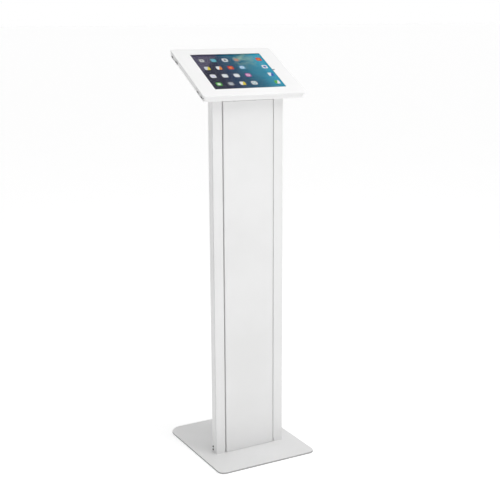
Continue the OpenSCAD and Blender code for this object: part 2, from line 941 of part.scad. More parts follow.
base_plate();
base_pads();
base_screws();
foot_tray();
foot_bracket();
column_channel();
left_strip();
right_strip();
column_header();
side_screws();
cable_grommet();
column_panel();
panel_clips();
head_bracket();
bracket_bolts();
bracket_nuts();
head_housing();
head_screws();
head_nuts();
head_grommet();
tablet_tray();
tray_pads();
left_clamp();
left_clamp_pads();
right_clamp();
right_clamp_pads();
clamp_screws();
clamp_nuts();
hinge_fixed_leaves();
hinge_pins();
hinge_screws();
hinge_moving_leaves();
front_cover();
cover_gasket();
cover_catch();
lock_housing();
lock_nut();
lock_barrel();
lock_cam();
cam_screw();
key_blade();
key_bow();
tablet_body();
tablet_display();
tablet_glass();
tablet_camera();
home_button();
power_button();
volume_up_button();
volume_down_button();
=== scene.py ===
import json
import math

import bmesh
import bpy
from mathutils import Matrix, Vector

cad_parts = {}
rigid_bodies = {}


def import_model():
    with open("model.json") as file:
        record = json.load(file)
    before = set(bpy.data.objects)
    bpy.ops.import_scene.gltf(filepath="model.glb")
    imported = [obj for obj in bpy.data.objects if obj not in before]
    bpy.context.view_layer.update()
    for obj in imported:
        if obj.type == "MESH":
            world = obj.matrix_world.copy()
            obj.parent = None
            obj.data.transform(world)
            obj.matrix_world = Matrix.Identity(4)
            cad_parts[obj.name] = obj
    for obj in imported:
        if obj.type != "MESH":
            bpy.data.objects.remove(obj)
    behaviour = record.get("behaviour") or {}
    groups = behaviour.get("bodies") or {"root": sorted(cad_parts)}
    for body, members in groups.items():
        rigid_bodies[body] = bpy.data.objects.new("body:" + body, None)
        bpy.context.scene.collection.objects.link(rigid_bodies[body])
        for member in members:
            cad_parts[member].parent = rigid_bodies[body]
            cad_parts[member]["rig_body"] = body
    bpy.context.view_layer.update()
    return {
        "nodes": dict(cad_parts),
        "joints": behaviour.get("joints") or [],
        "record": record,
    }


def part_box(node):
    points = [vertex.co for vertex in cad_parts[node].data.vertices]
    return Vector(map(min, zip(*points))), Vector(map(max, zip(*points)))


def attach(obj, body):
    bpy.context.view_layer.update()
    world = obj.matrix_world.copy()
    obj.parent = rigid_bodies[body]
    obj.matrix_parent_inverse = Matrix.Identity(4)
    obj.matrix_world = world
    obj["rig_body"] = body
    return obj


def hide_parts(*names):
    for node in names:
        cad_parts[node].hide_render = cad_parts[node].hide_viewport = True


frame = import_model()

# ---- Studio ----
# A visitor's view from the left, on a wide pale floor. Two soft lamps hang in front and overhead. The
# white room is dimmer on the left, and a darker band on its walls gives the chrome something to mirror.

CAMERA_PLACE = (-1.186, -2.2305, 1.132)
CAMERA_TURN, CAMERA_DIP, CAMERA_ROLL = map(math.radians, (-28.68, 13.20, -0.23))
LENS = 71.16
ROOM_GLOW = 1.07
BAND_GLOW = 0.27
HORIZON_GLOW = 1.0
FLOOR_GLOW = 0.36
DIM_LEFT = 0.4
BAND_FOOT, BAND_TOP = (0.14, 0.30), (0.60, 0.80)
HORIZON_EDGE = (0.08, 0.16)
FLOOR_SIZE = 300
LAMPS = (
    # name, place, aim, size, watts
    ("key_lamp", (0.55, -1.05, 1.80), (0.0, 0.0, 0.95), 0.7, 6.4),
    ("top_lamp", (0.3, -0.6, 3.2), (0.0, 0.0, 0.6), 1.6, 8.5),
)

camera_body = bpy.data.cameras.new("camera")
camera_body.lens = LENS
camera = bpy.data.objects.new("camera", camera_body)
bpy.context.collection.objects.link(camera)
camera.matrix_world = (Matrix.Translation(CAMERA_PLACE) @ Matrix.Rotation(CAMERA_TURN, 4, "Z")
                       @ Matrix.Rotation(math.pi / 2 - CAMERA_DIP, 4, "X")
                       @ Matrix.Rotation(CAMERA_ROLL, 4, "Z"))
bpy.context.scene.camera = camera
bpy.context.scene.view_settings.view_transform = "Standard"

for name, place, aim, size, watts in LAMPS:
    lamp_data = bpy.data.lights.new(name, "AREA")
    lamp_data.size = size
    lamp_data.energy = watts
    lamp = bpy.data.objects.new(name, lamp_data)
    bpy.context.collection.objects.link(lamp)
    lamp.location = place
    lamp.rotation_euler = (Vector(aim) - Vector(place)).to_track_quat("-Z", "Y").to_euler()
    lamp.visible_camera = False


class Wire:
    """A value on its way through a finish's shader. Python's operators on it add Math nodes."""

    def __init__(self, finish, socket):
        self.finish = finish
        self.socket = socket

    def maths(self, operation, *others):
        return self.finish.node("Math", {"operation": operation}, dict(enumerate((self, *others))))

    def __add__(self, other):
        return self.maths("ADD", other)

    def __sub__(self, other):
        return self.maths("SUBTRACT", other)

    def __rsub__(self, other):
        return self.finish.node("Math", {"operation": "SUBTRACT"}, {0: other, 1: self})

    def __mul__(self, other):
        return self.maths("MULTIPLY", other)

    def __truediv__(self, other):
        return self.maths("DIVIDE", other)

    def __pow__(self, other):
        return self.maths("POWER", other)

    def __abs__(self):
        return self.maths("ABSOLUTE")

    def __lt__(self, other):
        return self.maths("LESS_THAN", other)

    def __gt__(self, other):
        return self.maths("GREATER_THAN", other)

    __radd__ = __add__
    __rmul__ = __mul__

    def eased(self, low, high):
        """0 below low and 1 above high, with a soft step between."""
        return self.finish.node("MapRange", {"interpolation_type": "SMOOTHSTEP"},
                                {"Value": self, "From Min": low, "From Max": high})


class Finish:
    """The nodes of one material, or of the room. node() adds any node and returns one output."""

    def __init__(self, name, tree=None):
        if tree is None:
            self.material = bpy.data.materials.new(name)
            self.material.use_nodes = True
            tree = self.material.node_tree
        self.tree = tree

    def node(self, kind, settings=None, sockets=None, output=0):
        node = self.tree.nodes.new("ShaderNode" + kind)
        for name, value in (settings or {}).items():
            if name == "stops":
                while len(node.color_ramp.elements) < len(value):
                    node.color_ramp.elements.new(1.0)
                for element, (position, colour) in zip(node.color_ramp.elements, value):
                    element.position, element.color = position, colour
            else:
                setattr(node, name, value)
        self.feed(node, sockets or {})
        return Wire(self, node.outputs[output])

    def feed(self, node, sockets):
        for name, value in sockets.items():
            if isinstance(value, Wire):
                self.tree.links.new(value.socket, node.inputs[name])
            else:
                node.inputs[name].default_value = value

    def surface(self, **sockets):
        """Feeds the material's own shader: Base_Color=... is its socket Base Color."""
        self.feed(self.tree.nodes["Principled BSDF"],
                  {name.replace("_", " "): value for name, value in sockets.items()})

    def place(self):
        return self.node("TexCoord", output="Object")

    def noise(self, scale, detail=2.0, place=None):
        return self.node("TexNoise", {}, {"Vector": place or self.place(), "Scale": scale,
                                          "Detail": detail})

    def mix(self, factor, first, second):
        """A colour between two, by factor."""
        return self.node("Mix", {"data_type": "RGBA"}, {"Factor": factor, 6: first, 7: second}, output=2)

    def bump(self, height, depth, strength=1.0):
        """Relief of a given depth in metres, for the Normal socket."""
        return self.node("Bump", {}, {"Height": height, "Distance": depth, "Strength": strength})


world = bpy.data.worlds.new("room")
world.use_nodes = True
bpy.context.scene.world = world
room = Finish("room", world.node_tree)
towards = room.node("TexCoord", output="Generated")
sideways, height = (room.node("SeparateXYZ", {}, {0: towards}, output=axis) for axis in "XZ")
band = height.eased(*BAND_FOOT) * (1 - height.eased(*BAND_TOP))
horizon = 1 - abs(height).eased(*HORIZON_EDGE)
room.feed(world.node_tree.nodes["Background"],
          {"Color": (1.0, 1.0, 1.0, 1.0), "Strength": HORIZON_GLOW * horizon
           + (1 - horizon) * (1 + sideways * DIM_LEFT) * (ROOM_GLOW - (ROOM_GLOW - BAND_GLOW) * band)})

bpy.ops.object.select_all(action="DESELECT")
bpy.ops.mesh.primitive_plane_add(size=FLOOR_SIZE)
floor = bpy.context.object
floor.name = "floor"
paper = Finish("pale_floor")
paper.surface(Base_Color=paper.mix(paper.noise(3.0), (0.86, 0.86, 0.86, 1), (0.88, 0.88, 0.88, 1)),
              Roughness=0.9, Emission_Color=(1.0, 1.0, 1.0, 1.0), Emission_Strength=FLOOR_GLOW)
floor.data.materials.append(paper.material)

# ---- Base plate ----
# One 5 mm steel plate with round corners, laser cut, countersunk from below for the screws of the
# column and of the rear bracket, and powder coated white. All white parts share this fine satin coat.

MM = 0.001
FRONT_CORNER, REAR_CORNER = 18, 38
PLATE_EDGE = 0.8
COUNTERSINK_R = 6.1
M6_R = 3.0
CLEARANCE = 0.1
COAT_SHADE, COAT_LIGHT = (0.80, 0.80, 0.797, 1), (0.84, 0.84, 0.84, 1)
PEEL = 0.00012
# The grey of the painted shade on the base plate's upright rim.
RIM_SHADE_GREY = (0.30, 0.30, 0.30, 1)

powder = Finish("white_powder_coat")
orange_peel = powder.noise(520.0, 3.0)
drift = powder.noise(5.0, 3.0)
powder.surface(
    Base_Color=powder.mix(drift.eased(0.3, 0.7), COAT_SHADE, COAT_LIGHT),
    Roughness=0.36 + orange_peel * 0.12,
    Normal=powder.bump(orange_peel, PEEL, 0.35),
)

# The same coat on the plate, with painted shade that greys its upright rim, mottled by noise.
rim_shaded = Finish("rim_shaded_powder_coat")
orange_peel = rim_shaded.noise(520.0, 3.0)
shade_mottle = rim_shaded.noise(60.0, 5.0)
upright = 1 - abs(rim_shaded.node("SeparateXYZ", {}, {0: rim_shaded.node("NewGeometry", output="Normal")},
                               output="Z")).eased(0.05, 0.35)
coat = rim_shaded.mix(rim_shaded.noise(5.0, 3.0).eased(0.3, 0.7), COAT_SHADE, COAT_LIGHT)
rim_shaded.surface(
    # Painted shade: upright faces turn towards the grey, unevenly by noise.
    Base_Color=rim_shaded.mix(upright * (0.75 + shade_mottle * 0.4), coat, RIM_SHADE_GREY),
    Roughness=0.36 + orange_peel * 0.12 + upright * 0.15,
    Normal=rim_shaded.bump(orange_peel, PEEL, 0.35),
)


def hold(piece):
    """Takes one piece in hand: only it is selected, and operators act on it."""
    bpy.ops.object.select_all(action="DESELECT")
    piece.select_set(True)
    bpy.context.view_layer.objects.active = piece
    return piece


def set_in(piece, place):
    """Moves a piece from where it was worked, and applies the move to its mesh."""
    hold(piece)
    piece.matrix_world = place
    bpy.ops.object.transform_apply(location=True, rotation=True, scale=True)
    return piece


def settle(piece, finish, node, place=Matrix()):
    """Takes a piece worked in millimetres to its place, as the CAD node that it stands for."""
    set_in(piece, place @ Matrix.Scale(MM, 4))
    piece.data.materials.clear()
    piece.data.materials.append(finish.material)
    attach(piece, frame["nodes"][node]["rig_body"])
    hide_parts(node)


def pick(piece, kind, test):
    """In edit mode, selects each VERT, EDGE or FACE whose corners all pass the test."""
    bpy.ops.mesh.select_mode(type=kind)
    bpy.ops.mesh.select_all(action="DESELECT")
    mesh = bmesh.from_edit_mesh(piece.data)
    things = {"VERT": mesh.verts, "EDGE": mesh.edges, "FACE": mesh.faces}[kind]
    for thing in things:
        corners = [thing] if kind == "VERT" else thing.verts
        if all(test(corner.co) for corner in corners):
            thing.select_set(True)
    mesh.select_flush_mode()
    bmesh.update_edit_mesh(piece.data)


def edit(piece):
    hold(piece)
    bpy.ops.object.mode_set(mode="EDIT")
    bpy.ops.mesh.select_mode(type="VERT")
    bpy.ops.mesh.select_all(action="SELECT")


def put_down():
    bpy.ops.object.mode_set(mode="OBJECT")


def near(value, target, reach=0.05):
    return abs(value - target) < reach


def sheet_blank(name, width, depth, middle=(0, 0, 0), turn=(0, 0, 0)):
    """A flat blank of a given size, at its place."""
    bpy.ops.object.select_all(action="DESELECT")
    bpy.ops.mesh.primitive_plane_add(size=1, location=middle, rotation=turn)
    piece = bpy.context.object
    piece.name = name
    piece.scale = (width, depth, 1)
    bpy.ops.object.transform_apply(location=True, rotation=True, scale=True)
    return piece


def block(name, low, high):
    """A block between two corners, to be shaped further or used as a cutter."""
    low, high = Vector(low), Vector(high)
    bpy.ops.object.select_all(action="DESELECT")
    bpy.ops.mesh.primitive_cube_add(size=1, location=(low + high) / 2)
    piece = bpy.context.object
    piece.name = name
    piece.scale = high - low
    bpy.ops.object.transform_apply(location=True, rotation=True, scale=True)
    return piece


def rod(radius, length, middle, along=(0, 0, 1), tip=None):
    """A straight cutter, or a tapered one when its far radius is given."""
    bpy.ops.object.select_all(action="DESELECT")
    bpy.ops.mesh.primitive_cone_add(vertices=48, radius1=radius, radius2=radius if tip is None else tip,
                                    depth=length, location=middle,
                                    rotation=Vector(along).to_track_quat("Z", "Y").to_euler())
    bpy.ops.object.transform_apply(location=True, rotation=True, scale=True)
    return bpy.context.object


def cut(piece, *cutters):
    for cutter in cutters:
        hold(piece)
        boolean = piece.modifiers.new("cut", "BOOLEAN")
        boolean.operation = "DIFFERENCE"
        boolean.solver = "MANIFOLD"
        boolean.object = cutter
        bpy.ops.object.modifier_apply(modifier="cut")
        bpy.data.objects.remove(cutter)
    return piece


def joined(name, pieces):
    bpy.ops.object.select_all(action="DESELECT")
    for piece in pieces:
        piece.select_set(True)
    bpy.context.view_layer.objects.active = pieces[0]
    bpy.ops.object.join()
    pieces[0].name = name
    return pieces[0]


def shaded(piece):
    """Smooth over the rounds, and flat on the flats."""
    hold(piece)
    bpy.ops.object.shade_smooth_by_angle(angle=math.radians(50))
    flats = piece.modifiers.new("flats", "WEIGHTED_NORMAL")
    flats.keep_sharp = True
    bpy.ops.object.modifier_apply(modifier="flats")
    return piece


def eased_edges(piece, width, steps=2, sharp=30):
    """Breaks every sharp edge with a narrow round."""
    hold(piece)
    bevel = piece.modifiers.new("ease", "BEVEL")
    bevel.width = width
    bevel.segments = steps
    bevel.angle_limit = math.radians(sharp)
    bpy.ops.object.modifier_apply(modifier="ease")
    return shaded(piece)


def seats(node, axis):
    """For each separate solid of a CAD node: a place at its highest point along an axis, in millimetres."""
    mesh = bmesh.new()
    mesh.from_mesh(frame["nodes"][node].data)
    bmesh.ops.remove_doubles(mesh, verts=mesh.verts, dist=2e-6)
    axis = Vector(axis).normalized()
    turn = axis.to_track_quat("Z", "X").to_matrix().to_4x4()
    places, todo = [], set(mesh.verts)
    while todo:
        solid, edge_of = [], [todo.pop()]
        while edge_of:
            vert = edge_of.pop()
            solid.append(vert.co / MM)
            for edge in vert.link_edges:
                other = edge.other_vert(vert)
                if other in todo:
                    todo.remove(other)
                    edge_of.append(other)
        local = [turn.inverted() @ point for point in solid]
        middle = [(min(p[i] for p in local) + max(p[i] for p in local)) / 2 for i in (0, 1)]
        places.append(turn @ Matrix.Translation((*middle, max(p.z for p in local))))
    mesh.free()
    return places


low, high = (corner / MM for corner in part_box("base_plate"))
plate = sheet_blank("plate", high.x - low.x, high.y - low.y, (0, 0, high.z))
edit(plate)
for side, corner_r in ((-1, FRONT_CORNER), (1, REAR_CORNER)):
    pick(plate, "VERT", lambda co: near(co.y, side * high.y))
    bpy.ops.mesh.bevel(offset=corner_r, segments=16, affect="VERTICES")
bpy.ops.mesh.select_all(action="SELECT")
bpy.ops.mesh.extrude_region_move(TRANSFORM_OT_translate={"value": (0, 0, low.z - high.z)})
bpy.ops.mesh.select_all(action="SELECT")
bpy.ops.mesh.normals_make_consistent(inside=False)
put_down()
eased_edges(plate, PLATE_EDGE, steps=3)
sink = COUNTERSINK_R - M6_R
for seat in seats("base_screws", (0, 0, -1)):
    x, y = seat.translation.xy
    hole = rod(M6_R + CLEARANCE, 4 * high.z, (x, y, 0))
    countersink = rod(COUNTERSINK_R + 1, sink + 1, (x, y, low.z + (sink - 1) / 2), tip=M6_R)
    cut(plate, hole, countersink)
shaded(plate)
settle(plate, rim_shaded, "base_plate")

# ---- Rubber feet and cable grommets ----
# Four moulded discs glued under the plate, and two ring grommets pressed into their holes: one in the
# column's back wall and one in the floor of the head. All are matt black rubber with rounded rims.

FOOT_R, FOOT_RIM = 12.0, 0.35
MOULDED_EDGE = 0.05
RING_EDGE = 0.15
LIP = 2.0
GROMMET_HOLE = 8.0
OUTLET_WALL_R, HEAD_WALL_R = 12.0, 9.5
OUTLET_LIP_R, HEAD_LIP_R = 15.0, 11.5
COLUMN_SHEET, HEAD_SHEET = 1.5, 1.2

rubber = Finish("black_rubber")
grain = rubber.noise(900.0, 4.0)
rubber.surface(
    Base_Color=rubber.mix(rubber.noise(30.0), (0.018, 0.018, 0.019, 1), (0.032, 0.032, 0.033, 1)),
    Roughness=0.62 + grain * 0.25,
    Normal=rubber.bump(grain, 0.00008, 0.6),
)


def turned(name, rings, steps=64, hollow=False):
    """A round piece from (radius, height) rings along Z, capped at both ends, or a hollow closed ring."""
    bpy.ops.object.select_all(action="DESELECT")
    bpy.ops.mesh.primitive_circle_add(vertices=steps, radius=rings[0][0], location=(0, 0, rings[0][1]))
    piece = bpy.context.object
    piece.name = name
    bpy.ops.object.transform_apply(location=True, rotation=True, scale=True)
    edit(piece)
    if hollow:
        rings = [*rings, rings[0]]
    for (radius, height), (next_radius, next_height) in zip(rings, rings[1:]):
        bpy.ops.mesh.extrude_region_move(TRANSFORM_OT_translate={"value": (0, 0, next_height - height)})
        ratio = next_radius / radius
        bpy.ops.transform.resize(value=(ratio, ratio, 1))
    if hollow:
        bpy.ops.mesh.select_all(action="SELECT")
        bpy.ops.mesh.remove_doubles(threshold=0.001)
    else:
        bpy.ops.mesh.edge_face_add()
        radius, height = rings[0]
        pick(piece, "VERT", lambda co: near(co.z, height, 1e-3) and near(co.xy.length, radius, 1e-3))
        bpy.ops.mesh.edge_face_add()
    bpy.ops.mesh.select_all(action="SELECT")
    bpy.ops.mesh.normals_make_consistent(inside=False)
    put_down()
    return piece


def fitted(master, node, axis, finish):
    """Copies a worked piece to every solid of a CAD node, its top at the solid's top along an axis."""
    copies = []
    for seat in seats(node, axis):
        copy = master.copy()
        copy.data = master.data.copy()
        bpy.context.collection.objects.link(copy)
        copies.append(set_in(copy, seat))
    bpy.data.objects.remove(master)
    settle(joined(node + "_set", copies), finish, node)


def grommet(name, wall_r, lip_r, wall):
    """Two lips and a waist, lying flat with its top at 0."""
    soft = LIP / 4
    low_lip, high_lip = -LIP - wall, -LIP
    return turned(name, [
        (GROMMET_HOLE, -soft), (GROMMET_HOLE + soft, 0), (lip_r - soft, 0), (lip_r, -soft),
        (lip_r, high_lip + soft), (lip_r - soft, high_lip), (wall_r, high_lip), (wall_r, low_lip),
        (lip_r - soft, low_lip), (lip_r, low_lip - soft), (lip_r, low_lip - LIP + soft),
        (lip_r - soft, low_lip - LIP), (GROMMET_HOLE + soft, low_lip - LIP),
        (GROMMET_HOLE, low_lip - LIP + soft),
    ], hollow=True)


foot_low, foot_high = (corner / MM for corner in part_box("base_pads"))
foot_t = foot_high.z - foot_low.z
foot = turned("foot", [(FOOT_R, 0), (FOOT_R, FOOT_RIM - foot_t), (FOOT_R - FOOT_RIM, -foot_t)])
fitted(eased_edges(foot, MOULDED_EDGE), "base_pads", (0, 0, 1), rubber)

joints = {joint["name"]: joint for joint in frame["joints"]}
slope_up = -Vector(joints["cover_hinge"]["axis"])
face_out = Vector(joints["lock_turn"]["axis"])
fitted(eased_edges(grommet("outlet_ring", OUTLET_WALL_R, OUTLET_LIP_R, COLUMN_SHEET), RING_EDGE),
       "cable_grommet", (0, 1, 0), rubber)
fitted(eased_edges(grommet("head_ring", HEAD_WALL_R, HEAD_LIP_R, HEAD_SHEET), RING_EDGE),
       "head_grommet", face_out, rubber)

# ---- Foot of the column: base screws, tray and rear bracket ----
# Countersunk socket screws come up through the plate into a zinc-plated tray inside the column and a
# white bracket behind it. Both are folded from sheet, so every edge has the small round of a press tool.

SHEET_EDGE = 0.35
SOCKET_R, SOCKET_DEPTH = 2.2, 2.4
SCREW_RIM, SCREW_POINT = 0.15, 0.6

zinc = Finish("zinc_steel")
brushed = zinc.noise(260.0, 4.0)
spangle = zinc.noise(45.0, 2.0)
zinc.surface(
    Base_Color=zinc.mix(spangle, (0.56, 0.57, 0.59, 1), (0.69, 0.69, 0.68, 1)),
    Metallic=1.0,
    Roughness=0.26 + brushed * 0.2,
    Normal=zinc.bump(brushed, 0.00005, 0.4),
)


def worked_copy(node, edge, place=Matrix(), steps=2):
    """A CAD solid's shape as one whole mesh, on the bench in millimetres, with its edges eased."""
    piece = frame["nodes"][node].copy()
    piece.data = piece.data.copy()
    for tag in list(piece.keys()):
        del piece[tag]
    bpy.context.collection.objects.link(piece)
    piece.parent = None
    piece.name = node + "_worked"
    set_in(piece, Matrix.Scale(1 / MM, 4) @ place.inverted())
    edit(piece)
    bpy.ops.mesh.remove_doubles(threshold=0.002)
    bpy.ops.mesh.dissolve_limited(angle_limit=math.radians(0.5))
    put_down()
    return eased_edges(piece, edge, steps) if edge else piece


def socket_screw(name, head_r, shank_r, length):
    """Countersunk, with a hexagon socket in its flat head, which lies at 0."""
    screw = turned(name, [
        (head_r - 2 * SCREW_RIM, 0), (head_r, -SCREW_RIM), (shank_r, shank_r - head_r - SCREW_RIM),
        (shank_r, SCREW_POINT - length), (shank_r - SCREW_POINT, -length),
    ], steps=40)
    bpy.ops.object.select_all(action="DESELECT")
    bpy.ops.mesh.primitive_cylinder_add(vertices=6, radius=SOCKET_R, depth=2 * SOCKET_DEPTH)
    return eased_edges(cut(screw, bpy.context.object), 0.08)


screw_low, screw_high = (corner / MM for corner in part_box("base_screws"))
fitted(socket_screw("base_screw", COUNTERSINK_R - 2 * SCREW_RIM, M6_R, screw_high.z - screw_low.z),
       "base_screws", (0, 0, -1), zinc)
settle(worked_copy("foot_tray", SHEET_EDGE), zinc, "foot_tray")
settle(worked_copy("foot_bracket", SHEET_EDGE), powder, "foot_bracket")

# ---- Column: channel and front strips ----
# The back and sides are one folded channel of 1.5 mm sheet. A folded strip closes each front corner and
# leaves a thin shadow gap; its inner edge turns back to a ledge, which makes the groove.

BEND = 2.5
STRIP_BEND = 1.7
CUT_BELOW_HEAD = 0.4
SPARE_TOP = 5.0
LEDGE = 11.2
GROOVE_DEPTH = 8.0
STRIP_RETURN = 14.0
WELD_GAP = 0.02
CLIP_HOLE_R = 3.6
DRAIN_R, DRAIN_UP = 2.0, 5.0

# The head's own frame: x across, y up the slope, z out of the cover's face, with the middle of the screen
# opening at 0. The middle of the CAD's display lies DISPLAY_DEPTH under it.
DISPLAY_DEPTH = 3.8

display_low, display_high = (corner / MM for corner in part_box("tablet_display"))
screen_middle = (display_low + display_high) / 2 + face_out * DISPLAY_DEPTH
across = slope_up.cross(face_out)
head_turn = Matrix((across, slope_up, face_out)).transposed().to_4x4()
on_head = Matrix.Translation(screen_middle * MM) @ head_turn
housing_low = worked_copy("head_housing", 0, on_head)
head_back = min(vert.co.z for vert in housing_low.data.vertices)
bpy.data.objects.remove(housing_low)


def folded(name, path, low, high, bend, gauge):
    """A sheet bent along a path of (x, y) corners, its good face on the right of the path."""
    corners = [Vector((*corner, 0)) for corner in path]
    first, second = corners[:2]
    run = second - first
    middle = (first + second) / 2 + Vector((0, 0, (low + high) / 2))
    piece = sheet_blank(name, run.length, high - low, middle, (math.pi / 2, 0, math.atan2(run.y, run.x)))
    edit(piece)
    for here, there in zip(corners[1:], corners[2:]):
        pick(piece, "EDGE", lambda co: near(co.x, here.x) and near(co.y, here.y))
        bpy.ops.mesh.extrude_region_move(TRANSFORM_OT_translate={"value": there - here})
    if len(corners) > 2:
        pick(piece, "EDGE", lambda co: any(near(co.x, corner.x) and near(co.y, corner.y)
                                           for corner in corners[1:-1]))
        bpy.ops.mesh.bevel(offset=bend, segments=5, affect="EDGES")
    put_down()
    hold(piece)
    wall = piece.modifiers.new("gauge", "SOLIDIFY")
    wall.thickness = gauge
    wall.offset = -1
    wall.use_even_offset = True
    bpy.ops.object.modifier_apply(modifier="gauge")
    return piece


def cut_under_head(piece):
    """Trims the top to the slope of the head that stands on it."""
    edit(piece)
    bpy.ops.mesh.bisect(plane_co=screen_middle + face_out * (head_back - CUT_BELOW_HEAD), plane_no=face_out,
                        use_fill=True, clear_outer=True)
    put_down()
    return piece


channel_low, channel_high = (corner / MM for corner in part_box("column_channel"))
strip_low, strip_high = (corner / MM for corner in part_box("right_strip"))
channel = cut_under_head(folded("channel", [
    (channel_high.x, channel_low.y), (channel_high.x, channel_high.y),
    (channel_low.x, channel_high.y), (channel_low.x, channel_low.y),
], channel_low.z, channel_high.z + SPARE_TOP, BEND, COLUMN_SHEET))
mounts = {mount["name"]: mount for mount in frame["record"]["mounts"]}
outlet = Vector(mounts["cable_outlet"]["pos_m"]) / MM
cut(channel, rod(OUTLET_WALL_R, 10, outlet, (0, 1, 0)))
for seat in seats("bracket_bolts", (0, 1, 0)):
    x, _, z = seat.translation
    cut(channel, rod(M6_R + CLEARANCE, 12, (x, channel_high.y, z), (0, 1, 0)))
settle(eased_edges(channel, SHEET_EDGE), powder, "column_channel")

ledge_y = strip_low.y + GROOVE_DEPTH
groove_x = strip_low.x + LEDGE
face = cut_under_head(folded("strip_face", [
    (strip_low.x, ledge_y), (groove_x, ledge_y), (groove_x, strip_low.y), (strip_high.x, strip_low.y),
], strip_low.z, strip_high.z + SPARE_TOP, STRIP_BEND, COLUMN_SHEET))
flange_x = channel_high.x - COLUMN_SHEET
flange = cut_under_head(folded("strip_flange", [
    (flange_x, strip_low.y + COLUMN_SHEET + WELD_GAP), (flange_x, strip_low.y + STRIP_RETURN),
], strip_low.z, strip_high.z + SPARE_TOP, STRIP_BEND, COLUMN_SHEET))
for seat in seats("panel_clips", (0, 1, 0)):
    x, _, z = seat.translation
    if x > 0:
        cut(face, rod(CLIP_HOLE_R, 6, (x, ledge_y, z), (0, 1, 0)))
cut(face, rod(DRAIN_R, GROOVE_DEPTH, (groove_x, strip_low.y, strip_low.z + DRAIN_UP), (0, 1, 0)))
right_strip = joined("right_front_strip", [face, flange])
left_strip = right_strip.copy()
left_strip.data = right_strip.data.copy()
left_strip.name = "left_front_strip"
bpy.context.collection.objects.link(left_strip)
set_in(left_strip, Matrix.Scale(-1, 4, (1, 0, 0)))
edit(left_strip)
bpy.ops.mesh.normals_make_consistent(inside=False)
put_down()
settle(eased_edges(right_strip, SHEET_EDGE), powder, "right_strip")
settle(eased_edges(left_strip, SHEET_EDGE), powder, "left_strip")

# ---- Front panel, header and snap studs ----
# The lift-off panel and the short fixed header above it are shallow trays of the same sheet. Six black
# nylon studs on the panel's back push into holes in the ledges.

STUD_FOOT, STUD_FOOT_R, STUD_EDGE = 5.0, 3.2, 0.1

nylon = Finish("black_plastic")
spark = nylon.noise(1400.0, 3.0)
nylon.surface(
    Base_Color=nylon.mix(nylon.noise(60.0), (0.030, 0.030, 0.032, 1), (0.048, 0.048, 0.050, 1)),
    Roughness=0.42 + spark * 0.2,
    Normal=nylon.bump(spark, 0.00006, 0.7),
)

for node, spare in (("column_panel", 0), ("column_header", SPARE_TOP)):
    low, high = (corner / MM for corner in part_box(node))
    tray = folded(node + "_sheet", [(low.x, high.y), (low.x, low.y), (high.x, low.y), (high.x, high.y)],
                  low.z, high.z + spare, STRIP_BEND, COLUMN_SHEET)
    if spare:
        cut_under_head(tray)
    settle(eased_edges(tray, SHEET_EDGE), powder, node)

clip_low, clip_high = (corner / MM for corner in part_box("panel_clips"))
clip_l = clip_high.y - clip_low.y
stud = turned("stud", [
    (1.2, 0), (2.4, -0.6), (3.0, -2.2), (3.0, -3.4), (2.4, -5.2), (2.4, STUD_FOOT - clip_l),
    (STUD_FOOT_R, STUD_FOOT - clip_l), (STUD_FOOT_R, -clip_l),
], steps=32)
fitted(eased_edges(stud, STUD_EDGE), "panel_clips", (0, 1, 0), nylon)

# ---- Pan head screws ----
# Machine screws with a low dome and a cross recess: blackened at the column's foot and on the hinges,
# nickel-plated in the head's dimples, under the head and on both brackets. The nuts are zinc-plated.

RECESS_REACH, RECESS_WIDTH, RECESS_DEPTH = 0.58, 0.2, 0.75
RECESS_TIP = (0.45, 0.7, 1)
SCREW_EDGE = 0.05
NUT_EDGE = 0.25


def pan_screw(name, head_r, head_h, shank_r, length):
    """The top of its dome lies at 0; length is over all."""
    dome = [(0.985, 0.80), (0.93, 0.52), (0.80, 0.28), (0.60, 0.11), (0.34, 0.0)]
    screw = turned(name, [
        (shank_r * 0.7, -length), (shank_r, 0.4 - length), (shank_r, -head_h), (head_r * 0.97, -head_h),
        (head_r, -head_h * 0.92), *((head_r * r, -head_h * h) for r, h in dome),
    ], steps=40)
    depth = head_h * RECESS_DEPTH
    reach, width = head_r * RECESS_REACH, head_r * RECESS_WIDTH / 2
    for turn in (0, math.pi / 2):
        arm = block("arm", (-reach, -width, -depth), (reach, width, head_h))
        edit(arm)
        pick(arm, "FACE", lambda co: near(co.z, -depth))
        bpy.ops.transform.resize(value=RECESS_TIP)
        put_down()
        cut(screw, set_in(arm, Matrix.Rotation(turn, 4, "Z")))
    return eased_edges(screw, SCREW_EDGE, steps=1)


black_steel = Finish("black_steel")
oiled = black_steel.noise(400.0, 4.0)
black_steel.surface(
    Base_Color=black_steel.mix(oiled, (0.020, 0.020, 0.022, 1), (0.060, 0.060, 0.064, 1)),
    Metallic=0.6, Roughness=0.34 + oiled * 0.2)

nickel = Finish("nickel_steel")
worn = nickel.noise(300.0, 4.0)
nickel.surface(
    Base_Color=nickel.mix(worn, (0.30, 0.30, 0.31, 1), (0.42, 0.42, 0.42, 1)),
    Metallic=1.0, Roughness=0.16 + worn * 0.14)

SCREW_KINDS = (
    # node, direction of the head, finish, head radius, head height, shank radius, overall length
    ("hinge_screws", -across, black_steel, 2.5, 1.5, 1.5, 6.5),
    ("clamp_screws", -face_out, nickel, 4.0, 2.2, 2.0, 7.6),
    ("head_screws", -face_out, nickel, 4.0, 2.4, 2.0, 8.8),
    ("bracket_bolts", Vector((0, 1, 0)), nickel, 5.6, 3.2, 3.0, 13.7),
)
for node, axis, finish, *sizes in SCREW_KINDS:
    fitted(pan_screw("screw", *sizes), node, axis, finish)

# The ones at the column's foot go in from both sides: those of each side are told by their x.
side_screw = pan_screw("side_screw", 2.7, 1.6, 1.5, 8.6)
pair = []
for axis in (across, -across):
    for seat in seats("side_screws", axis):
        if seat.translation.x * axis.x > 0:
            copy = side_screw.copy()
            copy.data = side_screw.data.copy()
            bpy.context.collection.objects.link(copy)
            pair.append(set_in(copy, seat))
bpy.data.objects.remove(side_screw)
settle(joined("side_screws_set", pair), black_steel, "side_screws")

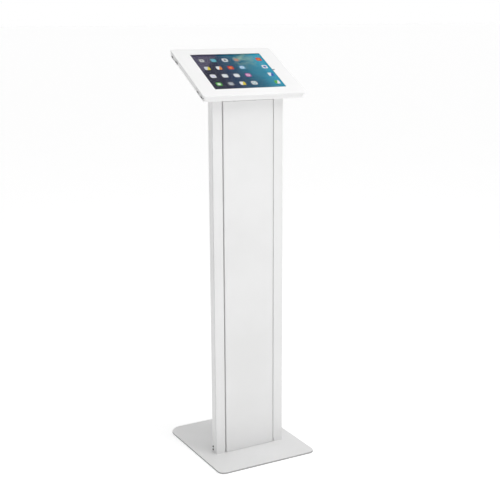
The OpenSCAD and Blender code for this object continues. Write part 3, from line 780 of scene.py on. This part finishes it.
for node in ("bracket_nuts", "head_nuts", "clamp_nuts"):
    settle(worked_copy(node, NUT_EDGE), zinc, node)

# ---- Head: bracket, housing, deck and clamps ----
# A thick folded bracket joins the column to the head. The housing is a shallow steel tray with punched
# vents and pressed dimples; its floor bends into its walls. The zinc deck and clamps hold the tablet.

HOUSING_BEND, HOUSING_CORNER = 1.3, 5.0
BRACKET_EDGE, VENT_EDGE = 0.6, 0.2
DECK_EDGE, PAD_EDGE = 0.25, 0.2

settle(worked_copy("head_bracket", BRACKET_EDGE), powder, "head_bracket")

housing = worked_copy("head_housing", 0, on_head)
walls = [vert.co.copy() for vert in housing.data.vertices]
side = max(co.x for co in walls)
top, bottom = max(co.y for co in walls), min(co.y for co in walls)


def on_rim(co):
    """On the outer edge where the housing's floor meets its walls."""
    past_x = abs(co.x) - side + HOUSING_CORNER
    past_y = abs(co.y - (top + bottom) / 2) - (top - bottom) / 2 + HOUSING_CORNER
    outline = max(past_x, past_y) if min(past_x, past_y) < 0 else math.hypot(past_x, past_y)
    return near(co.z, head_back) and near(outline, HOUSING_CORNER, 0.1)


edit(housing)
pick(housing, "EDGE", on_rim)
bpy.ops.mesh.bevel(offset=HOUSING_BEND, segments=4, affect="EDGES")
put_down()
settle(eased_edges(housing, VENT_EDGE, sharp=40), powder, "head_housing", on_head)

for node in ("tablet_tray", "left_clamp", "right_clamp"):
    settle(worked_copy(node, DECK_EDGE, on_head), zinc, node, on_head)
for node in ("left_clamp_pads", "right_clamp_pads"):
    settle(worked_copy(node, PAD_EDGE, on_head), rubber, node, on_head)

# ---- Sponge rubber: deck pads and the frame behind the cover ----
# Die-cut strips of black closed-cell sponge. The pads carry the tablet; the frame keeps its glass from
# touching the steel.

SPONGE_EDGE = 0.12

sponge = Finish("sponge_rubber")
cells = sponge.node("TexVoronoi", {}, {"Vector": sponge.place(), "Scale": 1600.0})
sponge.surface(
    Base_Color=sponge.mix(cells.eased(0.1, 0.6), (0.016, 0.016, 0.017, 1), (0.05, 0.05, 0.052, 1)),
    Roughness=0.95,
    Normal=sponge.bump(cells, 0.00015, 0.8),
)
for node in ("tray_pads", "cover_gasket"):
    settle(worked_copy(node, SPONGE_EDGE, on_head), sponge, node, on_head)

# ---- Tablet ----
# A thin bead-blasted aluminium shell with rounded edges, a black-framed cover glass, a lit display, a
# front camera behind the notch and a dished home button. Three pressed buttons sit in its edges.

SHELL_ROUND, SHELL_EDGE, BUTTON_EDGE = 2.2, 0.12, 0.3
GLASS_EDGE = 0.25

aluminium = Finish("tablet_aluminium")
blasted = aluminium.noise(2600.0, 2.0)
aluminium.surface(
    Base_Color=aluminium.mix(aluminium.noise(8.0), (0.66, 0.67, 0.69, 1), (0.72, 0.73, 0.75, 1)),
    Metallic=1.0,
    Roughness=0.30 + blasted * 0.16,
    Normal=aluminium.bump(blasted, 0.00002, 0.5),
)
shell = worked_copy("tablet_body", 0, on_head)
shell_back = min(vert.co.z for vert in shell.data.vertices)
edit(shell)
pick(shell, "EDGE", lambda co: near(co.z, shell_back))
bpy.ops.mesh.bevel(offset=SHELL_ROUND, segments=5, affect="EDGES")
put_down()
settle(eased_edges(shell, SHELL_EDGE, sharp=40), aluminium, "tablet_body", on_head)
for node in ("power_button", "volume_up_button", "volume_down_button"):
    settle(worked_copy(node, BUTTON_EDGE, on_head, steps=3), aluminium, node, on_head)

# The display: a generic start screen of plain tiles with simple shapes over a soft blue wallpaper. Its
# pattern runs over the panel's own UV map, and the tiles' sizes are in millimetres.
DISPLAY_W, DISPLAY_H, DISPLAY_T = 206.0, 164.5, 0.95
FILM = 0.05
DISPLAY_TOP = 0.5 - DISPLAY_DEPTH - FILM
TILE, TILE_ROUNDNESS = 7.6, 5.0
FIRST_COLUMN, COLUMN_PITCH = 0.128, 0.1595
FIRST_ROW, ROW_PITCH = 0.160, 0.2215
COLUMNS = (0, 1, 2, 3, 5)
DISC_R, RING_R, RING_HOLE_R = 4.2, 5.0, 3.0
FRAME, FRAME_HOLE, BAR_PITCH = 4.8, 3.2, 3.2
NAVY, PLUM, MIST = (0.009, 0.010, 0.036, 1), (0.072, 0.066, 0.120, 1), (0.36, 0.56, 0.40, 1)
WHITE, PALE = (0.85, 0.87, 0.88, 1), (0.62, 0.68, 0.74, 1)
GREY, SLATE = (0.26, 0.27, 0.29, 1), (0.05, 0.06, 0.08, 1)
RED, ORANGE = (0.66, 0.035, 0.025, 1), (0.75, 0.25, 0.04, 1)
YELLOW, GREEN = (0.75, 0.62, 0.05, 1), (0.10, 0.45, 0.06, 1)
TEAL, SKY, BLUE = (0.06, 0.36, 0.40, 1), (0.18, 0.48, 0.75, 1), (0.03, 0.12, 0.50, 1)
MAGENTA, LILAC = (0.55, 0.07, 0.36, 1), (0.58, 0.52, 0.80, 1)
TILES = (
    # one row of tiles from the top: tile colour, shape on it, the shape's colour
    ((GREY, "frame", WHITE), (TEAL, "bars", SKY), (WHITE, "disc", SLATE), (GREY, "ring", ORANGE),
     (RED, "disc", ORANGE)),
    ((PALE, "half", YELLOW), (WHITE, "half", ORANGE), (RED, "disc", ORANGE), (SKY, "ring", WHITE),
     (WHITE, "disc", BLUE)),
    ((WHITE, "bars", LILAC), (WHITE, "ring", PALE), (WHITE, "frame", PALE), (MAGENTA, "ring", WHITE),
     (WHITE, "half", BLUE)),
    ((GREEN, "disc", WHITE), (GREY, "bars", PALE), (WHITE, "half", YELLOW), (WHITE, "ring", TEAL),
     (GREEN, "half", WHITE)),
)

display = Finish("lit_display")
uv = display.node("TexCoord", output="UV")
u, v = (display.node("SeparateXYZ", {}, {0: uv}, output=axis) for axis in "XY")
down = 1 - v
cloud = display.noise(3.2, 5.0, uv)
fine_cloud = display.noise(11.0, 4.0, uv)
drifted = u + (cloud - 0.5) * 0.32 - down * 0.10
sky = display.node("ValToRGB", {"stops": [
    (0.00, (0.008, 0.014, 0.055, 1)), (0.28, (0.006, 0.028, 0.085, 1)), (0.48, (0.004, 0.070, 0.140, 1)),
    (0.68, (0.008, 0.170, 0.270, 1)), (0.90, (0.035, 0.360, 0.520, 1)),
]}, {"Fac": drifted})
veil = abs(u - 0.74 + (fine_cloud - 0.5) * 0.5) < 0.13
veil = veil * (1 - down.eased(0.05, 0.5)) * fine_cloud.eased(0.35, 0.7)
sky = display.mix(veil * 0.75, sky, MIST)
dusk = 1 - (u / 0.40 + down / 0.55).eased(0.93, 1.05)
night = (1 - u.eased(0.16, 0.42)) * (1 - dusk)
picture = display.mix(night, sky, NAVY)
picture = display.mix(dusk * (1 - u.eased(0.25, 0.5)), picture, PLUM)

column, row = (u - FIRST_COLUMN) / COLUMN_PITCH, (down - FIRST_ROW) / ROW_PITCH
near_column, near_row = column.maths("ROUND"), row.maths("ROUND")
x = (column - near_column) * (COLUMN_PITCH * DISPLAY_W)
y = (row - near_row) * (ROW_PITCH * DISPLAY_H)
reach_squared = x * x + y * y
widest = abs(x).maths("MAXIMUM", abs(y))
shapes = {
    "disc": reach_squared < DISC_R ** 2,
    "ring": (reach_squared < RING_R ** 2) * (reach_squared > RING_HOLE_R ** 2),
    "frame": (widest < FRAME) * (widest > FRAME_HOLE),
    "bars": (widest < FRAME) * ((y / BAR_PITCH).maths("FRACT") < 0.55),
    "half": (widest < TILE) * (x + y * 0.4 > 0.5),
}
tile = ((abs(x) / TILE) ** TILE_ROUNDNESS + (abs(y) / TILE) ** TILE_ROUNDNESS) < 1
in_columns = {index: (abs(near_column - index) < 0.5) * tile for index in COLUMNS}
for row_index, tiles in enumerate(TILES):
    in_row = abs(near_row - row_index) < 0.5
    for column_index, (colour, shape, mark) in zip(COLUMNS, tiles):
        here = in_row * in_columns[column_index]
        picture = display.mix(here, picture, colour)
        picture = display.mix(here * shapes[shape], picture, mark)
display.surface(Base_Color=(0.0, 0.0, 0.0, 1), Roughness=0.2, Specular_IOR_Level=0.1,
                Emission_Color=picture, Emission_Strength=1.0)

panel = sheet_blank("display_panel", DISPLAY_W, DISPLAY_H, (0, 0, DISPLAY_TOP))
hold(panel)
backing = panel.modifiers.new("backing", "SOLIDIFY")
backing.thickness = DISPLAY_T
backing.offset = -1
bpy.ops.object.modifier_apply(modifier="backing")
settle(panel, display, "tablet_display", on_head)

# The cover glass is printed black on its back all round the display, and clear over it.
glass = Finish("screen_glass")
on_glass = glass.node("Mapping", {"vector_type": "TEXTURE"}, {
    "Vector": glass.place(), "Location": on_head.translation, "Rotation": head_turn.to_euler()})
out_x, out_y = (abs(glass.node("SeparateXYZ", {}, {0: on_glass}, output=axis)) for axis in "XY")
printed = 1 - (out_x < DISPLAY_W / 2 * MM) * (out_y < DISPLAY_H / 2 * MM)
smear = glass.noise(25.0, 3.0)
glass.surface(Base_Color=(0.006, 0.006, 0.007, 1), Roughness=0.05 + smear * 0.06,
              Specular_IOR_Level=0.2, Alpha=0.10 + printed * 0.90)
settle(worked_copy("tablet_glass", GLASS_EDGE, on_head), glass, "tablet_glass", on_head)

# The camera: a dark lens in a thin black ring, dished towards its middle.
LENS_R, LENS_T = 1.5, 0.7

pupil = Finish("camera_lens")
middle = (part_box("tablet_camera")[0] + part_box("tablet_camera")[1]) / 2
reach = pupil.node("VectorMath", {"operation": "DISTANCE"}, {0: pupil.place(), 1: middle},
                   output="Value") / MM
pupil.surface(
    Base_Color=pupil.mix(reach.eased(0.35, 0.75), (0.002, 0.004, 0.02, 1), (0.012, 0.012, 0.014, 1)),
    Roughness=0.04 + 0.25 * reach.eased(1.0, 1.2), Coat_Weight=1.0)
fitted(turned("lens", [
    (LENS_R, -LENS_T), (LENS_R, -0.12), (LENS_R - 0.1, 0), (LENS_R - 0.35, 0),
    (LENS_R - 0.5, -0.1), (0.6, -0.18), (0.2, -0.2),
], steps=40), "tablet_camera", face_out, pupil)

# The home button: a white disc, dished for a fingertip, in a thin metal ring.
HOME_R, HOME_T = 6.0, 1.4
RING_FROM, RING_FULL = 5.1, 5.25

enamel = Finish("home_button")
middle = (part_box("home_button")[0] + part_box("home_button")[1]) / 2
reach = enamel.node("VectorMath", {"operation": "DISTANCE"}, {0: enamel.place(), 1: middle},
                    output="Value") / MM
ring = reach.eased(RING_FROM, RING_FULL)
enamel.surface(
    Base_Color=enamel.mix(ring, (0.80, 0.80, 0.81, 1), (0.60, 0.61, 0.63, 1)),
    Metallic=ring, Roughness=0.12 + 0.12 * enamel.noise(300.0))
fitted(turned("home", [
    (HOME_R, -HOME_T), (HOME_R, -0.15), (HOME_R - 0.15, 0), (HOME_R - 0.7, 0), (HOME_R - 0.85, -0.08),
    (4.0, -0.42), (2.6, -0.60), (1.2, -0.72), (0.3, -0.75),
], steps=72), "home_button", face_out, enamel)

# ---- Hinges ----
# Two butt hinges on the head's left side. The fixed leaves are screwed to the housing's wall, the moving
# ones welded inside the cover's lip, and a steel pin runs through five knuckles on each.

LEAF_EDGE = 0.12
PIN_R, PIN_L, PIN_TIP = 1.2, 40.0, 0.3

for node in ("hinge_fixed_leaves", "hinge_moving_leaves"):
    settle(worked_copy(node, LEAF_EDGE, on_head, steps=1), powder, node, on_head)
pin = turned("pin", [
    (PIN_R - PIN_TIP, 0), (PIN_R, -PIN_TIP), (PIN_R, PIN_TIP - PIN_L), (PIN_R - PIN_TIP, -PIN_L),
], steps=32)
fitted(eased_edges(pin, SCREW_EDGE), "hinge_pins", slope_up, zinc)

# ---- Front cover ----
# One sheet, laser cut with the screen opening and the camera's notch, its rim pressed down all round to a
# 4 mm lip with welded corners, then powder coated like the rest. The catch for the lock hangs from it.

COVER_CORNER = 6.0
COVER_BEND = 1.4
COVER_LIP = 4.0
OPENING_W, OPENING_H, OPENING_R = 200.0, 161.0, 1.0
NOTCH_REACH, NOTCH_W = 7.0, 4.0
CUTTER_REACH = 5.0
LASER_EDGE, CATCH_EDGE = 0.22, 0.2

flat = worked_copy("front_cover", 0, on_head)
cover_low = Vector([min(vert.co[i] for vert in flat.data.vertices) for i in range(3)])
cover_high = Vector([max(vert.co[i] for vert in flat.data.vertices) for i in range(3)])
bpy.data.objects.remove(flat)
cover_middle = (cover_low + cover_high) / 2
cover_size = cover_high - cover_low

cover = sheet_blank("cover", cover_size.x, cover_size.y, (cover_middle.x, cover_middle.y, -COVER_LIP))
edit(cover)
bpy.ops.mesh.bevel(offset=COVER_CORNER, segments=8, affect="VERTICES")
bpy.ops.mesh.select_all(action="SELECT")
bpy.ops.mesh.extrude_region_move(TRANSFORM_OT_translate={"value": (0, 0, COVER_LIP)})
pick(cover, "FACE", lambda co: near(co.z, -COVER_LIP))
bpy.ops.mesh.delete(type="ONLY_FACE")
pick(cover, "EDGE", lambda co: near(co.z, 0))
bpy.ops.mesh.bevel(offset=COVER_BEND, segments=4, affect="EDGES")
bpy.ops.mesh.select_all(action="SELECT")
bpy.ops.mesh.normals_make_consistent(inside=False)
put_down()
hold(cover)
gauge = cover.modifiers.new("gauge", "SOLIDIFY")
gauge.thickness = HEAD_SHEET
gauge.offset = -1
gauge.use_even_offset = True
bpy.ops.object.modifier_apply(modifier="gauge")
opening_x, opening_y = OPENING_W / 2, OPENING_H / 2
opening = block("opening", (-opening_x, -opening_y, -CUTTER_REACH), (opening_x, opening_y, CUTTER_REACH))
edit(opening)
for corner_x in (-opening_x, opening_x):
    for corner_y in (-opening_y, opening_y):
        pick(opening, "EDGE", lambda co: near(co.x, corner_x) and near(co.y, corner_y))
        bpy.ops.mesh.bevel(offset=OPENING_R, segments=4, affect="EDGES")
put_down()
notch_round = opening_x + NOTCH_REACH - NOTCH_W / 2
notch = block("notch", (opening_x - 2, -NOTCH_W / 2, -CUTTER_REACH),
              (notch_round, NOTCH_W / 2, CUTTER_REACH))
cut(cover, opening, notch, rod(NOTCH_W / 2, 2 * CUTTER_REACH, (notch_round, 0, 0)))
settle(eased_edges(cover, LASER_EDGE, sharp=35), powder, "front_cover", on_head)
settle(worked_copy("cover_catch", CATCH_EDGE, on_head), zinc, "cover_catch", on_head)

# ---- Cam lock ----
# A chromed cam lock in the head's right side: a flange that tapers outwards round a turned barrel, a
# thin nut inside, and a zinc cam that swings over the catch.

BARREL_R, BARREL_OUT, BARREL_EDGE = 5.5, 8.5, 0.25
FLANGE_R, RIM_R = 11.0, 8.0
THREAD_R, BODY_L = 7.0, 11.2
LOCK_EDGE, CAM_EDGE = 0.08, 0.12

chrome = Finish("chrome")
handled = chrome.noise(70.0, 4.0)
chrome.surface(
    Base_Color=chrome.mix(handled, (0.80, 0.81, 0.83, 1), (0.88, 0.88, 0.89, 1)),
    Metallic=1.0,
    Roughness=0.04 + handled * 0.09,
)
lock_body = turned("lock_body", [
    (BARREL_R + 0.05, -0.5), (BARREL_R + 0.5, -0.02), (RIM_R - 1.0, 0), (RIM_R - 0.4, -0.12),
    (RIM_R, -0.6), (RIM_R + 0.25, -1.2), (FLANGE_R - 0.35, -6.6), (FLANGE_R, -7.0), (FLANGE_R, -7.7),
    (FLANGE_R - 0.3, -8.0), (THREAD_R, -8.0), (THREAD_R, 0.4 - BODY_L), (THREAD_R - 0.4, -BODY_L),
    (BARREL_R + 0.05, -BODY_L),
], steps=96, hollow=True)
fitted(eased_edges(lock_body, LOCK_EDGE), "lock_housing", -face_out, chrome)
settle(worked_copy("lock_nut", NUT_EDGE, on_head), zinc, "lock_nut", on_head)
for node in ("lock_cam", "cam_screw"):
    settle(worked_copy(node, CAM_EDGE, on_head), zinc, node, on_head)
settle(worked_copy("lock_barrel", BARREL_EDGE, on_head), chrome, "lock_barrel", on_head)

# ---- Key ----
# A stamped steel blade in a turned, chromed collar and stem. The black bow is moulded round the stem,
# with a U-shaped window that shows it, soft corners and a slanting raised bar near one lower corner.

KEY_GAP, KEY_EDGE = 0.3, 0.08
COLLAR_R, COLLAR_L = 4.6, 7.0
STEM_R, STEM_L = 2.4, 8.0
BLADE_W, BLADE_T, BLADE_L = 6.0, 1.8, 10.0
BITES = (
    # height above the collar, depth
    (2.6, 1.0), (4.6, 1.6), (6.6, 0.8), (8.4, 1.3),
)
BOW_T, BOW_EDGE = 5.2, 0.9
BOW_TOP, BOW_MIDDLE, BOW_END = 7.5, 12.4, 12.8
BOW_L, SHOULDER, SUNK = 35.6, 14.0, 2.5
WINDOW_W, WINDOW_DEPTH = 6.8, 8.0
BAR_SLANT, BAR_X, BAR_UP, BAR_EDGE = math.radians(-42), 6.0, 7.5, 0.2

lock_place = Matrix.Translation(joints["lock_turn"]["pos_m"]) @ head_turn
key_start = -BARREL_OUT - KEY_GAP

collar = turned("collar", [
    (STEM_R, -COLLAR_L), (COLLAR_R - 0.8, -COLLAR_L), (COLLAR_R, -COLLAR_L + 0.8), (COLLAR_R, -3.2),
    (COLLAR_R - 0.35, -2.9), (COLLAR_R - 0.35, -2.3), (COLLAR_R, -2.0), (COLLAR_R, -0.6),
    (COLLAR_R - 0.6, 0), (1.2, 0),
], steps=64)
stem = turned("stem", [
    (STEM_R - 0.8, -STEM_L), (STEM_R, 0.8 - STEM_L), (STEM_R, -2.6), (STEM_R - 0.5, -2.3),
    (STEM_R - 0.5, -1.7), (STEM_R, -1.4), (STEM_R, 0.5),
], steps=48)
set_in(stem, Matrix.Translation((0, 0, -COLLAR_L)))
blade = block("blade", (-BLADE_W / 2, -BLADE_T / 2, -0.5), (BLADE_W / 2, BLADE_T / 2, KEY_GAP + BLADE_L))
for height, depth in BITES:
    for edge in (-1, 1):
        bite = block("bite", (-1, -2, -1), (1, 2, 1))
        set_in(bite, Matrix.Translation((edge * (BLADE_W / 2 + 1.41 - depth), 0, height))
               @ Matrix.Rotation(math.pi / 4, 4, "Y"))
        cut(blade, bite)
key_metal = joined("key_metal", [eased_edges(part, KEY_EDGE) for part in (collar, stem, blade)])
set_in(key_metal, Matrix.Translation((0, 0, key_start)))
settle(key_metal, chrome, "key_blade", lock_place)

# The bow stands in the plane of the blade: width across, length down from the collar.
bow_top = key_start - COLLAR_L + SUNK
lower_middle = (0, BOW_T / 2, bow_top - (BOW_L + SHOULDER) / 2)
bow = sheet_blank("bow", 2 * BOW_END, BOW_L - SHOULDER, lower_middle, (math.pi / 2, 0, 0))
edit(bow)
pick(bow, "EDGE", lambda co: near(co.z, bow_top - SHOULDER))
bpy.ops.transform.resize(value=(BOW_MIDDLE / BOW_END, 1, 1))
bpy.ops.mesh.extrude_region_move(TRANSFORM_OT_translate={"value": (0, 0, SHOULDER)})
bpy.ops.transform.resize(value=(BOW_TOP / BOW_MIDDLE, 1, 1))
bpy.ops.mesh.select_all(action="SELECT")
bpy.ops.mesh.extrude_region_move(TRANSFORM_OT_translate={"value": (0, -BOW_T, 0)})
bpy.ops.mesh.select_all(action="SELECT")
bpy.ops.mesh.normals_make_consistent(inside=False)
for drop, half_w, soft in ((BOW_L, BOW_END, 3.6), (SHOULDER, BOW_MIDDLE, 6.0), (0, BOW_TOP, 3.0)):
    pick(bow, "EDGE", lambda co: near(co.z, bow_top - drop) and near(abs(co.x), half_w))
    bpy.ops.mesh.bevel(offset=soft, segments=6, affect="EDGES")
put_down()
sill = bow_top - WINDOW_DEPTH
window = block("window", (-WINDOW_W / 2, -BOW_T, sill), (WINDOW_W / 2, BOW_T, bow_top + SUNK))
edit(window)
pick(window, "EDGE", lambda co: near(co.z, sill) and near(abs(co.x), WINDOW_W / 2))
bpy.ops.mesh.bevel(offset=WINDOW_W / 2 - 0.2, segments=8, affect="EDGES")
put_down()
collar_seat = rod(COLLAR_R + 0.1, 2 * SUNK, (0, 0, bow_top))
stem_seat = rod(STEM_R + 0.05, 12, (0, 0, bow_top - 4.5))
cut(bow, window, collar_seat, stem_seat)
bar = block("bar", (-3.8, -0.3, -0.7), (3.8, 0.35, 0.7))
set_in(bar, Matrix.Translation((BAR_X, BOW_T / 2, bow_top - BOW_L + BAR_UP))
       @ Matrix.Rotation(BAR_SLANT, 4, "Y"))
key_bow = joined("key_grip", [eased_edges(bow, BOW_EDGE, steps=3, sharp=40), eased_edges(bar, BAR_EDGE)])
settle(key_bow, nylon, "key_bow", lock_place)
